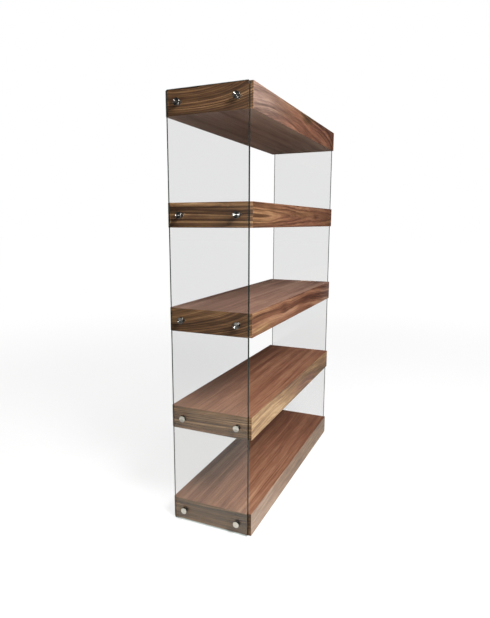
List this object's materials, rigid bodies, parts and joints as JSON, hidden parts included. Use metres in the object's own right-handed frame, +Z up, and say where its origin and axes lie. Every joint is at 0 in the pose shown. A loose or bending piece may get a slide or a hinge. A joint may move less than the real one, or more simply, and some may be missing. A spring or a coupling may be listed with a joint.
{
  "type": "bookcase",
  "caption": "Tall open bookcase of thick walnut-veneered box shelves held between two clear glass side panels by turned steel cap nuts; open at the front and back.",
  "frame": {"origin": "on the floor, at the middle of the footprint", "axes": "+X along the shelves to the right as seen from the front, -Y towards the front, +Z up"},
  "size_m": [1.143, 0.34, 1.655],
  "materials": {
    "walnut_veneer": "satin lacquered walnut veneer, grain along the length of each board and along the depth of the end boards",
    "core_timber": "bare softwood, hidden inside the shelves",
    "clear_glass": "clear toughened glass with polished edges that look grey green",
    "turned_steel": "stainless steel, face turned with fine concentric marks",
    "plated_steel": "zinc plated",
    "clear_vinyl": "soft translucent vinyl",
    "nylon": "natural translucent nylon",
    "insert_brass": "plain machined brass",
    "glide_plastic": "black moulded plastic"
  },
  "bodies": {
    "root": {"shelf_1_top_panel": "walnut_veneer", "shelf_1_bottom_panel": "walnut_veneer", "shelf_1_front_panel": "walnut_veneer", "shelf_1_back_panel": "walnut_veneer", "shelf_1_left_end_panel": "walnut_veneer", "shelf_1_right_end_panel": "walnut_veneer", "shelf_1_end_blocks": "core_timber", "shelf_1_core_ribs": "core_timber", "shelf_2_top_panel": "walnut_veneer", "shelf_2_bottom_panel": "walnut_veneer", "shelf_2_front_panel": "walnut_veneer", "shelf_2_back_panel": "walnut_veneer", "shelf_2_left_end_panel": "walnut_veneer", "shelf_2_right_end_panel": "walnut_veneer", "shelf_2_end_blocks": "core_timber", "shelf_2_core_ribs": "core_timber", "shelf_3_top_panel": "walnut_veneer", "shelf_3_bottom_panel": "walnut_veneer", "shelf_3_front_panel": "walnut_veneer", "shelf_3_back_panel": "walnut_veneer", "shelf_3_left_end_panel": "walnut_veneer", "shelf_3_right_end_panel": "walnut_veneer", "shelf_3_end_blocks": "core_timber", "shelf_3_core_ribs": "core_timber", "shelf_4_top_panel": "walnut_veneer", "shelf_4_bottom_panel": "walnut_veneer", "shelf_4_front_panel": "walnut_veneer", "shelf_4_back_panel": "walnut_veneer", "shelf_4_left_end_panel": "walnut_veneer", "shelf_4_right_end_panel": "walnut_veneer", "shelf_4_end_blocks": "core_timber", "shelf_4_core_ribs": "core_timber", "shelf_5_top_panel": "walnut_veneer", "shelf_5_bottom_panel": "walnut_veneer", "shelf_5_front_panel": "walnut_veneer", "shelf_5_back_panel": "walnut_veneer", "shelf_5_left_end_panel": "walnut_veneer", "shelf_5_right_end_panel": "walnut_veneer", "shelf_5_end_blocks": "core_timber", "shelf_5_core_ribs": "core_timber", "left_glass_panel": "clear_glass", "right_glass_panel": "clear_glass", "cap_nuts": "turned_steel", "threaded_studs": "plated_steel", "cap_washers": "clear_vinyl", "spacer_washers": "clear_vinyl", "glass_sleeves": "nylon", "threaded_inserts": "insert_brass", "glides": "glide_plastic", "glide_screws": "plated_steel"}
  },
  "joints": []
}
